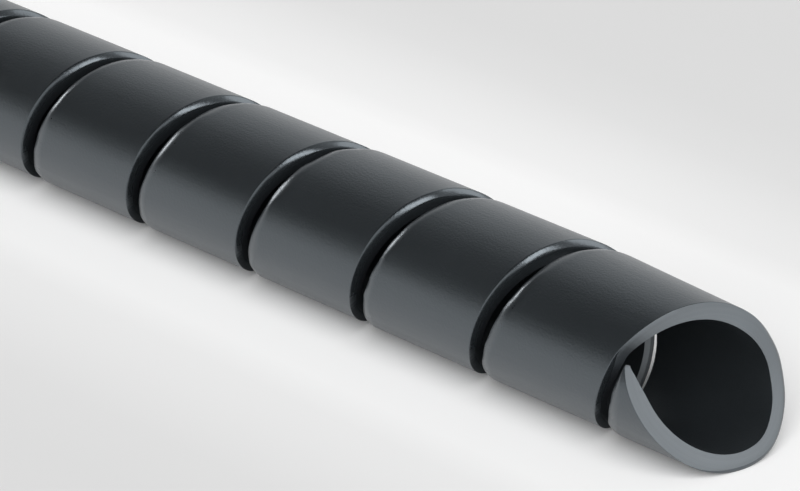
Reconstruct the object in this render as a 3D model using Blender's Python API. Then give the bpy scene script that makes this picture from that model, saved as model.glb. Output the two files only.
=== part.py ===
"""Spiral cable wrap: one half-metre piece of a black polyethylene tube that is slit along a helix.

The tube is extruded whole, and a blade then slits it into one long strip that winds like a spring.
It lies along X on the plane z = 0, with its free end, the one that was cut by hand, towards +X.
Everything is in metres and radians. Angles run round the tube from its -Y side towards its top.
"""

from math import ceil, cos, floor, pi, radians, sin

import bmesh
import bpy

full_turn = 2 * pi

# The tube
length = 0.500
outer_diameter = 0.020
wall = 0.0022

# The slit
pitch = 0.0201
slit_width = 0.00235
edge_rounding = 0.0005

# The free end: where its cut reaches furthest, how far round the cut runs from there to the strip's tip,
# and how the rim in front of it has sprung forward and curled in
crest_angle = radians(247.5)
cut_sweep = radians(133)
spring_reach = 0.0021
spring_sweep = radians(272)
spring_skew_share = 0.7
curl_depth = 0.00105
curl_lead = radians(49)
curl_sweep = radians(151)

# Facets
steps_per_turn = 24
rounding_steps = 2
weld_distance = 1e-7

outer_radius = outer_diameter / 2
inner_radius = outer_radius - wall
band_width = pitch - slit_width
end_x = length / 2
step_angle = full_turn / steps_per_turn
start_angle = crest_angle - full_turn * length / pitch
tip_angle = crest_angle + cut_sweep
spring_start = tip_angle - full_turn
curl_start = spring_start + curl_lead
cut_depth = (band_width - pitch * cut_sweep / full_turn) / (1 - cos(cut_sweep))


def remove_old_objects():
    for old in list(bpy.data.objects):
        bpy.data.objects.remove(old, do_unlink=True)


def polyethylene():
    """Black low-gloss polyethylene, coloured with carbon black."""
    material = bpy.data.materials.new("black_polyethylene")
    material.use_nodes = True
    shader = material.node_tree.nodes["Principled BSDF"]
    shader.inputs["Base Color"].default_value = (0.022, 0.024, 0.026, 1)
    shader.inputs["Roughness"].default_value = 0.4
    shader.inputs["Metallic"].default_value = 0
    return material


def swell(angle, start, sweep, skew_share=1):
    """A smooth hump that rises from 0 to 1 and falls back to 0 over the sweep."""
    share = (angle - start) / sweep
    if not 0 < share < 1:
        return 0
    return sin(pi * share ** skew_share) ** 2


def strip_outline():
    """The strip's section: how far each point lies from the back edge, and its radius.

    It runs from the inner back corner over the outer side to the inner front corner. The slit leaves the
    inner corners crisp, and the outer ones are rounded.
    """
    back = [(0, inner_radius)]
    for step in range(rounding_steps + 1):
        turn = radians(90) * step / rounding_steps
        inset = edge_rounding * (1 - cos(turn))
        drop = edge_rounding * (1 - sin(turn))
        back.append((inset, outer_radius - drop))
    front = [(band_width - across, radius) for across, radius in reversed(back)]
    return back + front


def oblique_cut(angle):
    """How far forward the hand cut lets the strip reach. It is square to the wall all the way."""
    return end_x - cut_depth * (1 - cos(angle - crest_angle))


def facet_stretch(angle):
    """How much further out than the flat's middle a point at this angle lies on a flat facet."""
    middle = round(angle / step_angle) * step_angle
    return 1 / cos(angle - middle)


def strip_section(angle):
    """The points of the strip's section where it has wound through this angle."""
    back_x = end_x + pitch * (angle - crest_angle) / full_turn - band_width
    spring = spring_reach * swell(angle, spring_start, spring_sweep, spring_skew_share)
    curl = curl_depth * swell(angle, curl_start, curl_sweep)
    on_last_half_turn = angle > tip_angle - full_turn / 2
    points = []
    for across, radius in strip_outline():
        forward_share = across / band_width
        x = max(back_x + across + forward_share * spring, -end_x)
        if on_last_half_turn:
            x = min(x, oblique_cut(angle))
        reach = radius * facet_stretch(angle) - forward_share * curl
        points.append((x, -reach * cos(angle), outer_radius + reach * sin(angle)))
    return points


def winding_angles():
    """Every facet corner from the strip's start at the square end to its tip, with a flat facet below."""
    nearest = step_angle / 4
    first = floor(start_angle / step_angle)
    last = ceil(tip_angle / step_angle)
    corners = [(number + 0.5) * step_angle for number in range(first, last)]
    inner = [angle for angle in corners if start_angle + nearest < angle < tip_angle - nearest]
    return [start_angle] + inner + [tip_angle]


def spiral_wrap():
    """Lofts the section along the helix. At both ends the cut narrows the strip to a knife edge."""
    shape = bmesh.new()
    rings = [[shape.verts.new(point) for point in strip_section(angle)] for angle in winding_angles()]
    for ring, following in zip(rings, rings[1:]):
        for here in range(len(ring)):
            beside = (here + 1) % len(ring)
            shape.faces.new((ring[here], following[here], following[beside], ring[beside]))
    bmesh.ops.remove_doubles(shape, verts=shape.verts, dist=weld_distance)
    bmesh.ops.recalc_face_normals(shape, faces=shape.faces)

    mesh = bpy.data.meshes.new("spiral_wrap")
    shape.to_mesh(mesh)
    shape.free()
    mesh.materials.append(polyethylene())
    mesh.shade_smooth()
    mesh.set_sharp_from_angle(angle=radians(50))
    piece = bpy.data.objects.new("spiral_wrap", mesh)
    bpy.context.scene.collection.objects.link(piece)
    return piece


remove_old_objects()
spiral_wrap()
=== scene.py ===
from math import pi, radians, tau

import bmesh
import bpy
import numpy as np
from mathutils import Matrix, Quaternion, Vector


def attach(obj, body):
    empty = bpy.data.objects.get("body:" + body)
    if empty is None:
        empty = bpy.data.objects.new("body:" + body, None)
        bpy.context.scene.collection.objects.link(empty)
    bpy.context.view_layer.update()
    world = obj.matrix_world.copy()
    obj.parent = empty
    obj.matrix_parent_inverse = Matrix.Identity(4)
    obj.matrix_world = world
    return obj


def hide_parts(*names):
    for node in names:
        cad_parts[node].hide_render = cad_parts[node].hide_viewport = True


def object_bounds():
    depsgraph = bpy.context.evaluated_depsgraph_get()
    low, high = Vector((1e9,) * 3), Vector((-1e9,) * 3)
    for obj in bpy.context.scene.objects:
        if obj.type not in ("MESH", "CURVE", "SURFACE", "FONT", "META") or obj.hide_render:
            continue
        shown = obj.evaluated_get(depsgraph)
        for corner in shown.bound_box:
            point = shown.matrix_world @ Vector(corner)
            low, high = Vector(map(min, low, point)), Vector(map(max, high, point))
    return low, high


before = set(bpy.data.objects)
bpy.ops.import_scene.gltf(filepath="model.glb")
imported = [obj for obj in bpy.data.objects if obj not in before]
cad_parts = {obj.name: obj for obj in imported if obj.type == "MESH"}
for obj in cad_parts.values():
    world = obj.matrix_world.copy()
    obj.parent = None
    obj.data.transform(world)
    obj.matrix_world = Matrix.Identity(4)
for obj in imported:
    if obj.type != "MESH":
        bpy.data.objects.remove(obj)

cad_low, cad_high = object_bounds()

# The strip. A black polyethylene tube is extruded whole, and a blade then slits it along a left-hand helix,
# so that its wall becomes one long strip that winds like a spring. The section is drawn flat here, rounded
# at its two outer edges, and screwed along the tube. Angles run from the tube's -Y side towards its top.

axis_height = (cad_low.z + cad_high.z) / 2
outer_radius = (cad_high.z - cad_low.z) / 2
wall = 0.0022
pitch = 0.0201
slit_width = 0.0015
band_width = pitch - slit_width
drawn_rounding = 0.0005

# The line that the blade follows leaves the end of the tube at the marked angle of the last turn.
marked_angle = radians(247.5)
tip_degrees = 384.5
tip_angle = radians(tip_degrees)
turns_before_last = 26

# The mesh has this many sections to a turn, and more of them near the tip. Two points that are less than a
# hair apart are one.
steps_per_turn = 90
crowding = radians(20)
hair = 0.000001

whole_sweep = tip_angle + tau * turns_before_last
middle_of_wall = wall / 2 - outer_radius
rounding_limit = drawn_rounding * 1.001

bpy.ops.object.select_all(action="DESELECT")
bpy.ops.mesh.primitive_plane_add(size=1)
strip = bpy.context.object
strip.name = "spiral_wrap_strip"
strip.data.name = "spiral_wrap_strip"


def select_edges(piece, wanted):
    """In edit mode, selects exactly the edges whose two ends pass the test."""
    bpy.ops.mesh.select_mode(type="EDGE")
    bpy.ops.mesh.select_all(action="DESELECT")
    drawn = bmesh.from_edit_mesh(piece.data)
    for edge in drawn.edges:
        edge.select_set(wanted(*(corner.co for corner in edge.verts)))
    bmesh.update_edit_mesh(piece.data)


bpy.ops.object.mode_set(mode="EDIT")
bpy.ops.mesh.select_all(action="SELECT")
bpy.ops.transform.resize(value=(band_width, wall, 1), center_override=(0, 0, 0))
bpy.ops.transform.translate(value=(band_width / 2, middle_of_wall, 0))
select_edges(strip, lambda one, other: max(one.y, other.y) < middle_of_wall)
bpy.ops.mesh.bevel(offset=drawn_rounding, segments=8, affect="VERTICES")
bpy.ops.mesh.select_all(action="SELECT")
bpy.ops.mesh.delete(type="ONLY_FACE")
select_edges(strip, lambda one, other: abs(one.x - other.x) > band_width / 2)
bpy.ops.mesh.subdivide(number_cuts=6)
select_edges(strip, lambda one, other: abs(one.y - other.y) > wall / 2)
bpy.ops.mesh.subdivide(number_cuts=2)
bpy.ops.object.mode_set(mode="OBJECT")

section = np.array([tuple(corner.co) for corner in strip.data.vertices])
section_size = len(section)

helix = strip.modifiers.new("helix", "SCREW")
helix.axis = "X"
helix.angle = -whole_sweep
helix.screw_offset = pitch * whole_sweep / tau
helix.steps = helix.render_steps = round(steps_per_turn * whole_sweep / tau)
helix.use_merge_vertices = False
bpy.ops.object.modifier_apply(modifier=helix.name)

# The screw lays its points one section after the other, so a point's place in the section is known. The
# sections are crowded a little towards the tip, which is small.
section_count = len(strip.data.vertices) // section_size
across = np.tile(section[:, 0], section_count)
drop = outer_radius + np.tile(section[:, 1], section_count)
to_go = np.linspace(whole_sweep, 0, section_count)
section_angle = tip_angle - to_go + crowding * (1 - np.exp(-to_go / crowding))
angle = np.repeat(section_angle, section_size)


def share_between(start, end):
    """For every point of the strip, a share that grows evenly from 0 to 1 between two angles in degrees."""
    return np.clip((np.degrees(angle) - start) / (end - start), 0, 1)


def swell(start, end, skew_share=1.0):
    """For every point of the strip, a smooth hump from 0 up to 1 and back between two angles in degrees."""
    return np.sin(pi * share_between(start, end) ** skew_share) ** 2


def rise(start, end):
    """For every point of the strip, a smooth step from 0 up to 1 between two angles in degrees."""
    share = share_between(start, end)
    return share * share * (3 - 2 * share)


def facing(side):
    """For every point of the strip, 1 on the side at this angle in degrees, and -1 on the opposite side."""
    return np.cos(angle - radians(side))


def wander(spacing, seed):
    """For every point of the strip, a random wave along it, about 1 high, with a knot every few degrees."""
    place = np.degrees(angle - angle[0]) / spacing
    before = place.astype(int)
    share = place - before
    heights = np.random.default_rng(seed).normal(size=before.max() + 2)
    return heights[before] + (heights[before + 1] - heights[before]) * share * share * (3 - 2 * share)


# The back edge follows the slit, which is widest at the front above. The last turn has slid forward behind,
# and the strip narrows a little more before its tip.
slit_back = 0.00186
slit_breath = 0.00070
widest_slit_side = 62
last_turn_slide = 0.00155
tip_narrowing = 0.00040
marked_x = cad_high.x + pitch * (angle - marked_angle) / tau
back_x = marked_x - pitch + slit_back + slit_breath * facing(widest_slit_side)
back_x = back_x + last_turn_slide * swell(120, 300, skew_share=0.8) - tip_narrowing * rise(338, 378)

# The front edge has a sloped lip all along, which is narrow and steep at the bottom and ends where the hand
# cut begins. The rim in front of the tip has sprung forward. The far slit, which shows through the bore, is
# narrower behind.
narrow_lip = 0.00012
lip_widening = 0.00044
wide_lip_side = 95
lip_loss_share = 0.30
high_side = 132
lip_start = 0.00005
lip_start_breath = 0.00017
lip_side = 75
rim_start_reach = 0.00025
spring_reach = 0.00225
spring_start = 29.7
far_slit_closing = 0.00065
cut_start_reach = 0.00015
lip_left = 1 - rise(5, 40)
top_share = np.clip(facing(high_side), 0, 1) ** 6
lip_width = narrow_lip + lip_widening * ((1 + facing(wide_lip_side)) / 2) ** 1.5
lip_width = lip_width * (1 - lip_loss_share * top_share)
lip_x = marked_x + (lip_start - lip_start_breath * facing(lip_side) + lip_width) * lip_left
front_x = lip_x + rim_start_reach * swell(-40, 70)
front_x = front_x + spring_reach * swell(spring_start, spring_start + 360, skew_share=0.563)
front_x = front_x + far_slit_closing * swell(-235, -100) + cut_start_reach * swell(165, 205)

# A hand-held knife has cut the end obliquely. The cut reaches furthest at its crest, with a slight hollow
# before it, and ends in the tip.
crest_past_end = 0.0010
crest_side = 243.6
cut_depth = 0.0065
cut_hollow = 0.00034
blunt_width = 0.00015
cut_x = cad_high.x + crest_past_end - cut_depth * (1 - facing(crest_side)) - cut_hollow * swell(188, 254)
front_x = front_x + (cut_x - front_x) * rise(168, 215)
width = np.maximum(front_x - back_x, blunt_width)

# The blade has left a crisp slope along the front edge and a broad, uneven shoulder along the back edge.
# The hand cut leaves a crisp edge, with a slope on it again up to its crest.
crisp = 0.00004
lip_depth = 0.00096
lip_flattening_share = 0.35
lip_wave_share = 0.08
cut_slope_width = 0.00045
cut_slope_depth = 0.00060
shoulder_width = 0.00150
shoulder_widening = 0.00020
shoulder_depth = 0.00042
shoulder_deepening = 0.00004
shoulder_wave_share = 0.12
widest_edge_share = 0.45
cut_slope = rise(130, 165) * (1 - rise(270, 310))
lip_width_wave = 1 + lip_wave_share * wander(13, seed=1)
lip_depth_wave = 1 + lip_wave_share * wander(17, seed=2)
shoulder_width_wave = 1 + shoulder_wave_share * wander(12, seed=3)
shoulder_depth_wave = 1 + shoulder_wave_share * wander(9, seed=4)
front_inset = crisp + lip_width * lip_left * lip_width_wave + cut_slope_width * cut_slope
front_depth = crisp + lip_depth * lip_left * lip_depth_wave + cut_slope_depth * cut_slope
front_depth = front_depth * (1 - lip_flattening_share * top_share)
back_inset = (shoulder_width + shoulder_widening * top_share) * shoulder_width_wave
back_depth = (shoulder_depth + shoulder_deepening * top_share) * shoulder_depth_wave
front_inset = np.minimum(front_inset, widest_edge_share * width)
back_inset = np.minimum(back_inset, widest_edge_share * width)
back_depth = np.minimum(back_depth, 2 * back_inset)

# Round each edge the share runs from 0 at the skin to 1 at the face of the slit. The back edge falls like a
# bowl, and the front edge falls evenly after a short turn.
corner_share = 0.08
in_front = across > band_width - rounding_limit
in_back = across < rounding_limit
on_edge = drop < rounding_limit
edge_share = np.arccos(np.clip(1 - drop / drawn_rounding, 0, 1)) / radians(90)
front_share = edge_share ** 1.6
front_fall = (np.hypot(front_share, corner_share) - corner_share) * (0.7 + 0.3 * front_share)
front_fall = front_fall / (np.hypot(1, corner_share) - corner_share)
back_fall = edge_share ** 2

# The points between the edges gather near them, so that the shading stays flat up to the edges.
middle_share = 2 * (across - drawn_rounding) / (band_width - 2 * drawn_rounding) - 1
middle_share = (1 + np.sign(middle_share) * (1 - (1 - np.abs(middle_share)) ** 3)) / 2
new_across = back_inset + middle_share * (width - back_inset - front_inset)
new_across = np.where(in_front, width - front_inset * (1 - front_share), new_across)
new_across = np.where(in_back, back_inset * (1 - edge_share), new_across)
forward_share = new_across / width

edge_depth = np.where(in_front, front_depth, back_depth)
below_edge = edge_depth + (drop - drawn_rounding) / (wall - drawn_rounding) * (wall - edge_depth)
new_drop = np.where(on_edge, edge_depth * np.where(in_front, front_fall, back_fall), below_edge)
new_drop = np.where(in_front | in_back | (drop > wall / 2), new_drop, 0)

# The wall thins towards the tip.
thinning_start = 355
thinning_share = 0.74
tip_wall = wall * (1 - thinning_share * share_between(thinning_start, tip_degrees) ** 2.4)
new_drop = new_drop * tip_wall / wall

# The cut leans: it reaches less far inside than outside at its crest, and further near the tip.
cut_lean = 0.425
slant = cut_lean * rise(113, 173) * new_drop * forward_share * facing(crest_side)
x = back_x + new_across - slant

# The rim and the tip have curled in, the tube is a little oval, one turn stands a little higher at the top
# and the last one lower.
curl_depth = 0.00103
tip_curl = 0.00025
oval_side = 127
oval_height = 0.00007
oval_shift = 0.00005
high_turn_lift = 0.00012
last_turn_sag = 0.00010
reach = outer_radius - new_drop - forward_share * curl_depth * swell(59, 244.7)
reach = reach + oval_shift * facing(oval_side) + oval_height * facing(oval_side) ** 2
reach = reach + high_turn_lift * swell(-743, -443) - last_turn_sag * swell(-23, 200)
reach = reach - tip_curl * rise(368, tip_degrees)
z = np.maximum(axis_height + reach * np.sin(angle), cad_low.z)
places = np.column_stack([x, -reach * np.cos(angle), z])
strip.data.vertices.foreach_set("co", places.astype(np.float32).ravel())
strip.data.update()

# Three marks tell the faces apart for the material: how fresh a cut is (with painted light on the far
# slit), what lies in the bore, and how the edges are finished, from -1 where they are dull to 1 where they
# are polished.
corner_numbers = np.zeros(len(strip.data.loops), np.int32)
strip.data.loops.foreach_get("vertex_index", corner_numbers)
corner_numbers = corner_numbers.reshape(-1, 4)
section_across = section[:, 0][corner_numbers % section_size]
section_depth = outer_radius + section[:, 1][corner_numbers % section_size]


def on_faces(value):
    """For every face, the mean of what its corners have."""
    return value[corner_numbers].mean(axis=1)


def mark_faces(name, value):
    """Writes one number on every face, which the material reads by this name."""
    mark = strip.data.attributes.new(name, "FLOAT", "FACE")
    mark.data.foreach_set("value", value.astype(np.float32))


# On the last turn the front face is the fresh face of the hand cut. The front edge of the far slit, which
# shows through the bore, is painted as pale as a cut: painted light where it catches light through the
# slit.
on_front_face = section_across.min(axis=1) > band_width - hair
on_front_edge = section_across.min(axis=1) > band_width - rounding_limit
darker_rim_share = 0.30
hand_cut = rise(25, 55) * (1 - darker_rim_share * swell(60, 235))
far_slit_painted_light = swell(-240, -60)
fresh_cut_and_painted_light = np.where(on_front_face, on_faces(hand_cut), 0) + np.where(on_front_edge, on_faces(far_slit_painted_light), 0)
mark_faces("blade_cut", fresh_cut_and_painted_light)
mark_faces("bore", section_depth.min(axis=1) > wall - 10 * hair)

# The walls of the slit are dull, and dullest behind below. The lip is dull below and polished at the top.
slit_wall_finish = -0.6
wall_dulling = 0.4
dullest_side = 203
dull_lip_finish = -0.8
polished_lip_finish = 1.0
cut_edge_finish = 0.3
shoulder_finish = 0.4
polish_start = -0.25
polish_end = 0.10
near_skin = section_depth.max(axis=1) < rounding_limit
by_an_edge = (in_front | in_back)[corner_numbers].all(axis=1)
on_shoulder = section_across.max(axis=1) < band_width / 2
on_slit_wall = (section_across.max(axis=1) < hair) | on_front_face
lip_polish = np.clip((facing(lip_side) - polish_start) / (polish_end - polish_start), 0, 1)
lip_finish = dull_lip_finish + (polished_lip_finish - dull_lip_finish) * lip_polish
lip_finish = on_faces(lip_finish + (cut_edge_finish - lip_finish) * rise(120, 165))
wall_finish = on_faces(slit_wall_finish - wall_dulling * np.clip(facing(dullest_side), 0, 1))
wall_finish = wall_finish * (1 - np.where(on_front_face, on_faces(rise(-15, 30)), 0))
edge_finish = np.where(on_slit_wall & ~near_skin, wall_finish * (1 - fresh_cut_and_painted_light), 0.0)
skin_edge_finish = np.where(on_shoulder, shoulder_finish, lip_finish)
edge_finish = np.where(by_an_edge & near_skin, skin_edge_finish, edge_finish)
mark_faces("edge_finish", edge_finish)

# The other end is cut off square. Its face is a fresh cut, and so is the small face that closes the tip.
bpy.ops.object.mode_set(mode="EDIT")
bpy.ops.mesh.select_all(action="SELECT")
bpy.ops.mesh.bisect(plane_co=(cad_low.x, 0, 0), plane_no=(1, 0, 0), use_fill=True, clear_inner=True)
bpy.ops.mesh.select_mode(type="VERT")
bpy.ops.mesh.select_all(action="DESELECT")
bpy.ops.mesh.select_non_manifold()
bpy.ops.mesh.edge_face_add()
bpy.ops.mesh.select_all(action="SELECT")
bpy.ops.mesh.remove_doubles(threshold=hair)
bpy.ops.mesh.normals_make_consistent(inside=False)
bpy.ops.object.mode_set(mode="OBJECT")
for face in strip.data.polygons:
    if face.center.x < cad_low.x + hair or face.loop_total > 4:
        strip.data.attributes["blade_cut"].data[face.index].value = 1
bpy.ops.object.shade_smooth_by_angle(angle=radians(35))


class Wire:
    """A socket of a shader's nodes. Arithmetic adds Math nodes, and make() adds any other node."""

    def __init__(self, tree, socket=None):
        self.tree = tree
        self.socket = socket

    def make(self, kind, settings=None, inputs=None, output=0):
        """Adds a node with its settings and the values or links of its sockets, and gives one output."""
        node = self.tree.nodes.new("ShaderNode" + kind)
        for name, value in (settings or {}).items():
            if name == "stops":
                stops = node.color_ramp.elements
                while len(stops) < len(value):
                    stops.new(1)
                for stop, (position, colour) in zip(stops, value):
                    stop.position = position
                    stop.color = colour
            else:
                setattr(node, name, value)
        for name, value in (inputs or {}).items():
            if isinstance(value, Wire):
                self.tree.links.new(value.socket, node.inputs[name])
            else:
                node.inputs[name].default_value = value
        return Wire(self.tree, node.outputs[output] if len(node.outputs) else None)

    def beside(self, output):
        """Another output of the same node."""
        return Wire(self.tree, self.socket.node.outputs[output])

    def math(self, operation, *values):
        """Adds a Math node on numbers and sockets."""
        return self.make("Math", {"operation": operation}, dict(enumerate(values)))

    def __add__(self, other):
        return self.math("ADD", self, other)

    __radd__ = __add__

    def __sub__(self, other):
        return self.math("SUBTRACT", self, other)

    def __rsub__(self, other):
        return self.math("SUBTRACT", other, self)

    def __mul__(self, other):
        return self.math("MULTIPLY", self, other)

    __rmul__ = __mul__

    def __pow__(self, other):
        return self.math("POWER", self, other)


def grey(level, blue=1.0):
    """A neutral colour with a little more blue than red."""
    return (level, level * (1 + 0.09 * blue), level * (1 + 0.16 * blue), 1)


def blend(share, first, second):
    """The first colour where the share is 0, the second where it is 1, and their mix between."""
    return share.make("Mix", {"data_type": "RGBA"}, {0: share, 6: first, 7: second}, output=2)


def noise(place, scale, detail, roughness):
    """Soft random spots, about as many to a metre as the scale says, with finer ones on them."""
    inputs = {"Vector": place, "Scale": scale, "Detail": detail, "Roughness": roughness}
    return place.make("TexNoise", {}, inputs)


polyethylene = bpy.data.materials.new("black_polyethylene")
polyethylene.use_nodes = True
polyethylene.node_tree.nodes.clear()
nodes = Wire(polyethylene.node_tree)
cut_share_with_painted_light = nodes.make("Attribute", {"attribute_name": "blade_cut"}, output="Fac")
inside = nodes.make("Attribute", {"attribute_name": "bore"}, output="Fac")
finish = nodes.make("Attribute", {"attribute_name": "edge_finish"}, output="Fac")
polish = nodes.math("MAXIMUM", finish, 0.0)
dullness = nodes.math("MAXIMUM", 0.0 - finish, 0.0)
place = nodes.make("TexCoord", output="Object")
place_x = nodes.make("SeparateXYZ", {}, {0: place}, output="X")
place_y = place_x.beside("Y")
height = place_x.beside("Z") - axis_height
from_axis = (place_y * place_y + height * height) ** 0.5

# Extrusion leaves a faint orange peel and fine lines along the tube.
line_stretch = (0.06, 1, 1)
peel = noise(place, scale=3200, detail=3, roughness=0.55)
along = nodes.make("Mapping", {}, {"Vector": place, "Scale": line_stretch})
lines = noise(along, scale=900, detail=4, roughness=0.6)
clouds = noise(place, scale=160, detail=3, roughness=0.5)

# A blade leaves streaks that run with the cut, each at its own distance from the axis.
streaks_along = 60
streaks_across = 2600
along_the_cut = {"X": place_x * streaks_along, "Y": from_axis * streaks_across, "Z": 0.5}
place_on_cut = nodes.make("CombineXYZ", {}, along_the_cut)
streaks = noise(place_on_cut, scale=1, detail=4, roughness=0.6)

# The skin is nearly black, mottled at random and paler towards the cut end. A cut is dark grey and matt.
paling_middle = 0.155
paling_slope = 3.5
skin_roughness = 0.27
cut_roughness = 0.58
grain_roughening = 0.09
bore_roughening = 0.12
polish_smoothing = 0.17
grain_loss_share = 0.75
bump_depth = 0.00003
skin_paling = 0.35 * clouds + 0.5 * peel + paling_slope * (place_x - paling_middle)
skin_colour = blend(skin_paling, grey(0.007, blue=2), grey(0.015, blue=2))
cut_colour = blend(streaks, grey(0.070), grey(0.113))
bore_colour = blend(inside, skin_colour, grey(0.010, blue=2))
# The cut's colour also paints the far slit pale, as painted light.
colour = blend(cut_share_with_painted_light, bore_colour, cut_colour)
roughness = skin_roughness + grain_roughening * lines + grain_roughening * peel
roughness = roughness - polish * polish_smoothing + inside * bore_roughening
roughness = roughness + cut_share_with_painted_light * (cut_roughness - roughness)
smoothed = nodes.math("MINIMUM", polish * 2, 1.0)
skin_height = (peel * 1.5 + lines * 0.9) * (1 - grain_loss_share * smoothed)
bump_height = skin_height + cut_share_with_painted_light * (streaks - skin_height)
normal = nodes.make("Bump", {}, {"Strength": 0.8, "Distance": bump_depth, "Height": bump_height})
glossy = nodes.make(
    "BsdfPrincipled",
    {},
    {
        "Base Color": colour,
        "Roughness": roughness,
        "IOR": 1.60,
        "Specular IOR Level": 1.0,
        "Specular Tint": (0.82, 0.92, 1.0, 1),
        "Normal": normal,
    },
)

# The faces inside the slit are dull and hardly mirror anything.
dull = nodes.make("BsdfDiffuse", {}, {"Color": colour, "Normal": normal})
surface = nodes.make("MixShader", {}, {0: dullness, 1: glossy, 2: dull})
nodes.make("OutputMaterial", {}, {"Surface": surface})
strip.data.materials.clear()
strip.data.materials.append(polyethylene)

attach(strip, "root")
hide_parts("spiral_wrap")

# The floor is a wide sheet of matt white paper, with a painted pool of light in its colour that runs along
# the wrap, and a painted glow behind the wrap. It isn't part of the object.

floor_size = 30
floor_white = 0.94
pool_middle = 0.010
pool_half_width = 0.080
glow_strength = 0.115
glow_ridge = 0.020
glow_edge = 0.075
glow_low_end = -0.30
glow_high_end = 0.24
glow_fade = 0.06

# How white the paper is painted at these shares of the painted pool's half width.
pool_levels = {0.25: 1.0, 0.34: 0.98, 0.41: 0.90, 0.50: 0.86, 0.62: 0.80, 0.75: 0.775, 1.0: 0.76}
white = grey(1, blue=0)

bpy.ops.object.select_all(action="DESELECT")
bpy.ops.mesh.primitive_plane_add(size=floor_size)
floor = bpy.context.object
floor.name = "paper_floor"
paper = bpy.data.materials.new("floor_paper")
paper.use_nodes = True
paper.node_tree.nodes.clear()
nodes = Wire(paper.node_tree)
place = nodes.make("TexCoord", output="Object")
place_x = nodes.make("SeparateXYZ", {}, {0: place}, output="X")
place_y = place_x.beside("Y")
camera_ray = nodes.make("LightPath", output="Is Camera Ray")
glossy_ray = camera_ray.beside("Is Glossy Ray")
past_end = nodes.math("MAXIMUM", nodes.math("ABSOLUTE", place_x) - cad_high.x, 0.0)
aside = place_y - pool_middle
from_pool = (aside * aside + past_end * past_end) ** 0.5 * (1 / pool_half_width)
stops = [(at, grey(level * floor_white, blue=0)) for at, level in pool_levels.items()]
pool = nodes.make("ValToRGB", {"stops": stops}, {0: from_pool})
# Reflections see the paper evenly white, without the painted pool.
tone = blend(glossy_ray, pool, grey(floor_white, blue=0))
sheet = nodes.make("BsdfDiffuse", {}, {"Color": tone})


def smooth_step(value, start, end, low=0.0, high=1.0):
    """A smooth step from low to high as the value goes from start to end."""
    ends = {"Value": value, "From Min": start, "From Max": end, "To Min": low, "To Max": high}
    return value.make("MapRange", {"interpolation_type": "SMOOTHSTEP"}, ends)


# Behind the wrap, where it shades the paper from the front lamp, a painted glow that only the camera
# sees keeps the paper looking white.
glow = glow_strength * smooth_step(place_y, 0.0, glow_ridge)
glow = glow * (1 - smooth_step(place_y, glow_ridge, glow_edge))
glow = glow * (1 - smooth_step(place_x, glow_high_end - glow_fade, glow_high_end))
glow = glow * smooth_step(place_x, glow_low_end, glow_low_end + glow_fade)
glow = nodes.make("Emission", {}, {"Color": white, "Strength": glow * camera_ray})
sheet = nodes.make("AddShader", {}, {0: sheet, 1: glow})
nodes.make("OutputMaterial", {}, {"Surface": sheet})
floor.data.materials.append(paper)

# The light is a plain studio. Most of it comes from a large soft lamp at the front, which the gloss doesn't
# show. The gloss shows a pale wall behind the wrap, a dark room in front of it and three narrow lamps: past
# the cut end, behind the wrap at the side, and past the far end.

diffuse_light = 0.26
background_light = 0.86
dark_room = 0.02
pale_wall = 0.95
horizon_light = 0.9
horizon_gain = 0.6

world = bpy.data.worlds.new("studio")
bpy.context.scene.world = world
world.use_nodes = True
world.node_tree.nodes.clear()
nodes = Wire(world.node_tree)
direction = nodes.make("TexCoord", output="Generated")
towards_back = nodes.make("SeparateXYZ", {}, {0: direction}, output="Y")
upwards = towards_back.beside("Z")
camera_ray = nodes.make("LightPath", output="Is Camera Ray")
glossy_ray = camera_ray.beside("Is Glossy Ray")
room = smooth_step(towards_back, -0.37, 0.85, dark_room, pale_wall)
above_horizon = smooth_step(upwards, 0.0, 0.14)
horizon = horizon_light + horizon_gain * nodes.math("MAXIMUM", towards_back, 0.0)
mirrored_light = horizon + above_horizon * (room - horizon)
strength = diffuse_light + glossy_ray * (mirrored_light - diffuse_light)
strength = strength + camera_ray * (background_light - strength)
sky = nodes.make("Background", {}, {"Color": white, "Strength": strength})
nodes.make("OutputWorld", {}, {"Surface": sky})


def lamp(name, strength, spread, towards, in_gloss):
    """A far lamp that stands in this direction and spans this angle.

    It either shows in the gloss and lights nothing else, or lights everything and stays out of the gloss.
    """
    light = bpy.data.lights.new(name, "SUN")
    light.energy = strength
    light.angle = spread
    holder = bpy.data.objects.new(name, light)
    holder.rotation_mode = "QUATERNION"
    holder.rotation_quaternion = Vector(towards).to_track_quat("Z", "Y")
    holder.visible_glossy = in_gloss
    holder.visible_diffuse = not in_gloss
    bpy.context.scene.collection.objects.link(holder)


lamp("front_fill", strength=3.63, spread=radians(68), towards=(0.58, -0.50, 0.64), in_gloss=False)
lamp("end_lamp", strength=0.47, spread=radians(22), towards=(0.96, -0.14, 0.22), in_gloss=True)
lamp("side_lamp", strength=0.30, spread=radians(28), towards=(0.72, 0.55, 0.43), in_gloss=True)
lamp("far_lamp", strength=0.45, spread=radians(16), towards=(-0.97, -0.02, 0.19), in_gloss=True)

# The camera stands where the photograph was taken from, about half a metre from the cut end, in front of it
# and above it. It leans a little.

camera_place = Vector((0.5422, -0.34564, 0.27009))
aim = Vector((0.18049, 0.01402, 0))
lean = radians(-2.195)

eye = bpy.data.cameras.new("camera")
eye.sensor_width = 36
eye.lens = 202.53
eye.clip_end = 100
camera = bpy.data.objects.new("camera", eye)
camera.location = camera_place
camera.rotation_mode = "QUATERNION"
camera.rotation_quaternion = (aim - camera_place).to_track_quat("-Z", "Y") @ Quaternion((0, 0, 1), lean)
bpy.context.scene.collection.objects.link(camera)
bpy.context.scene.camera = camera
bpy.context.scene.view_settings.view_transform = "Standard"
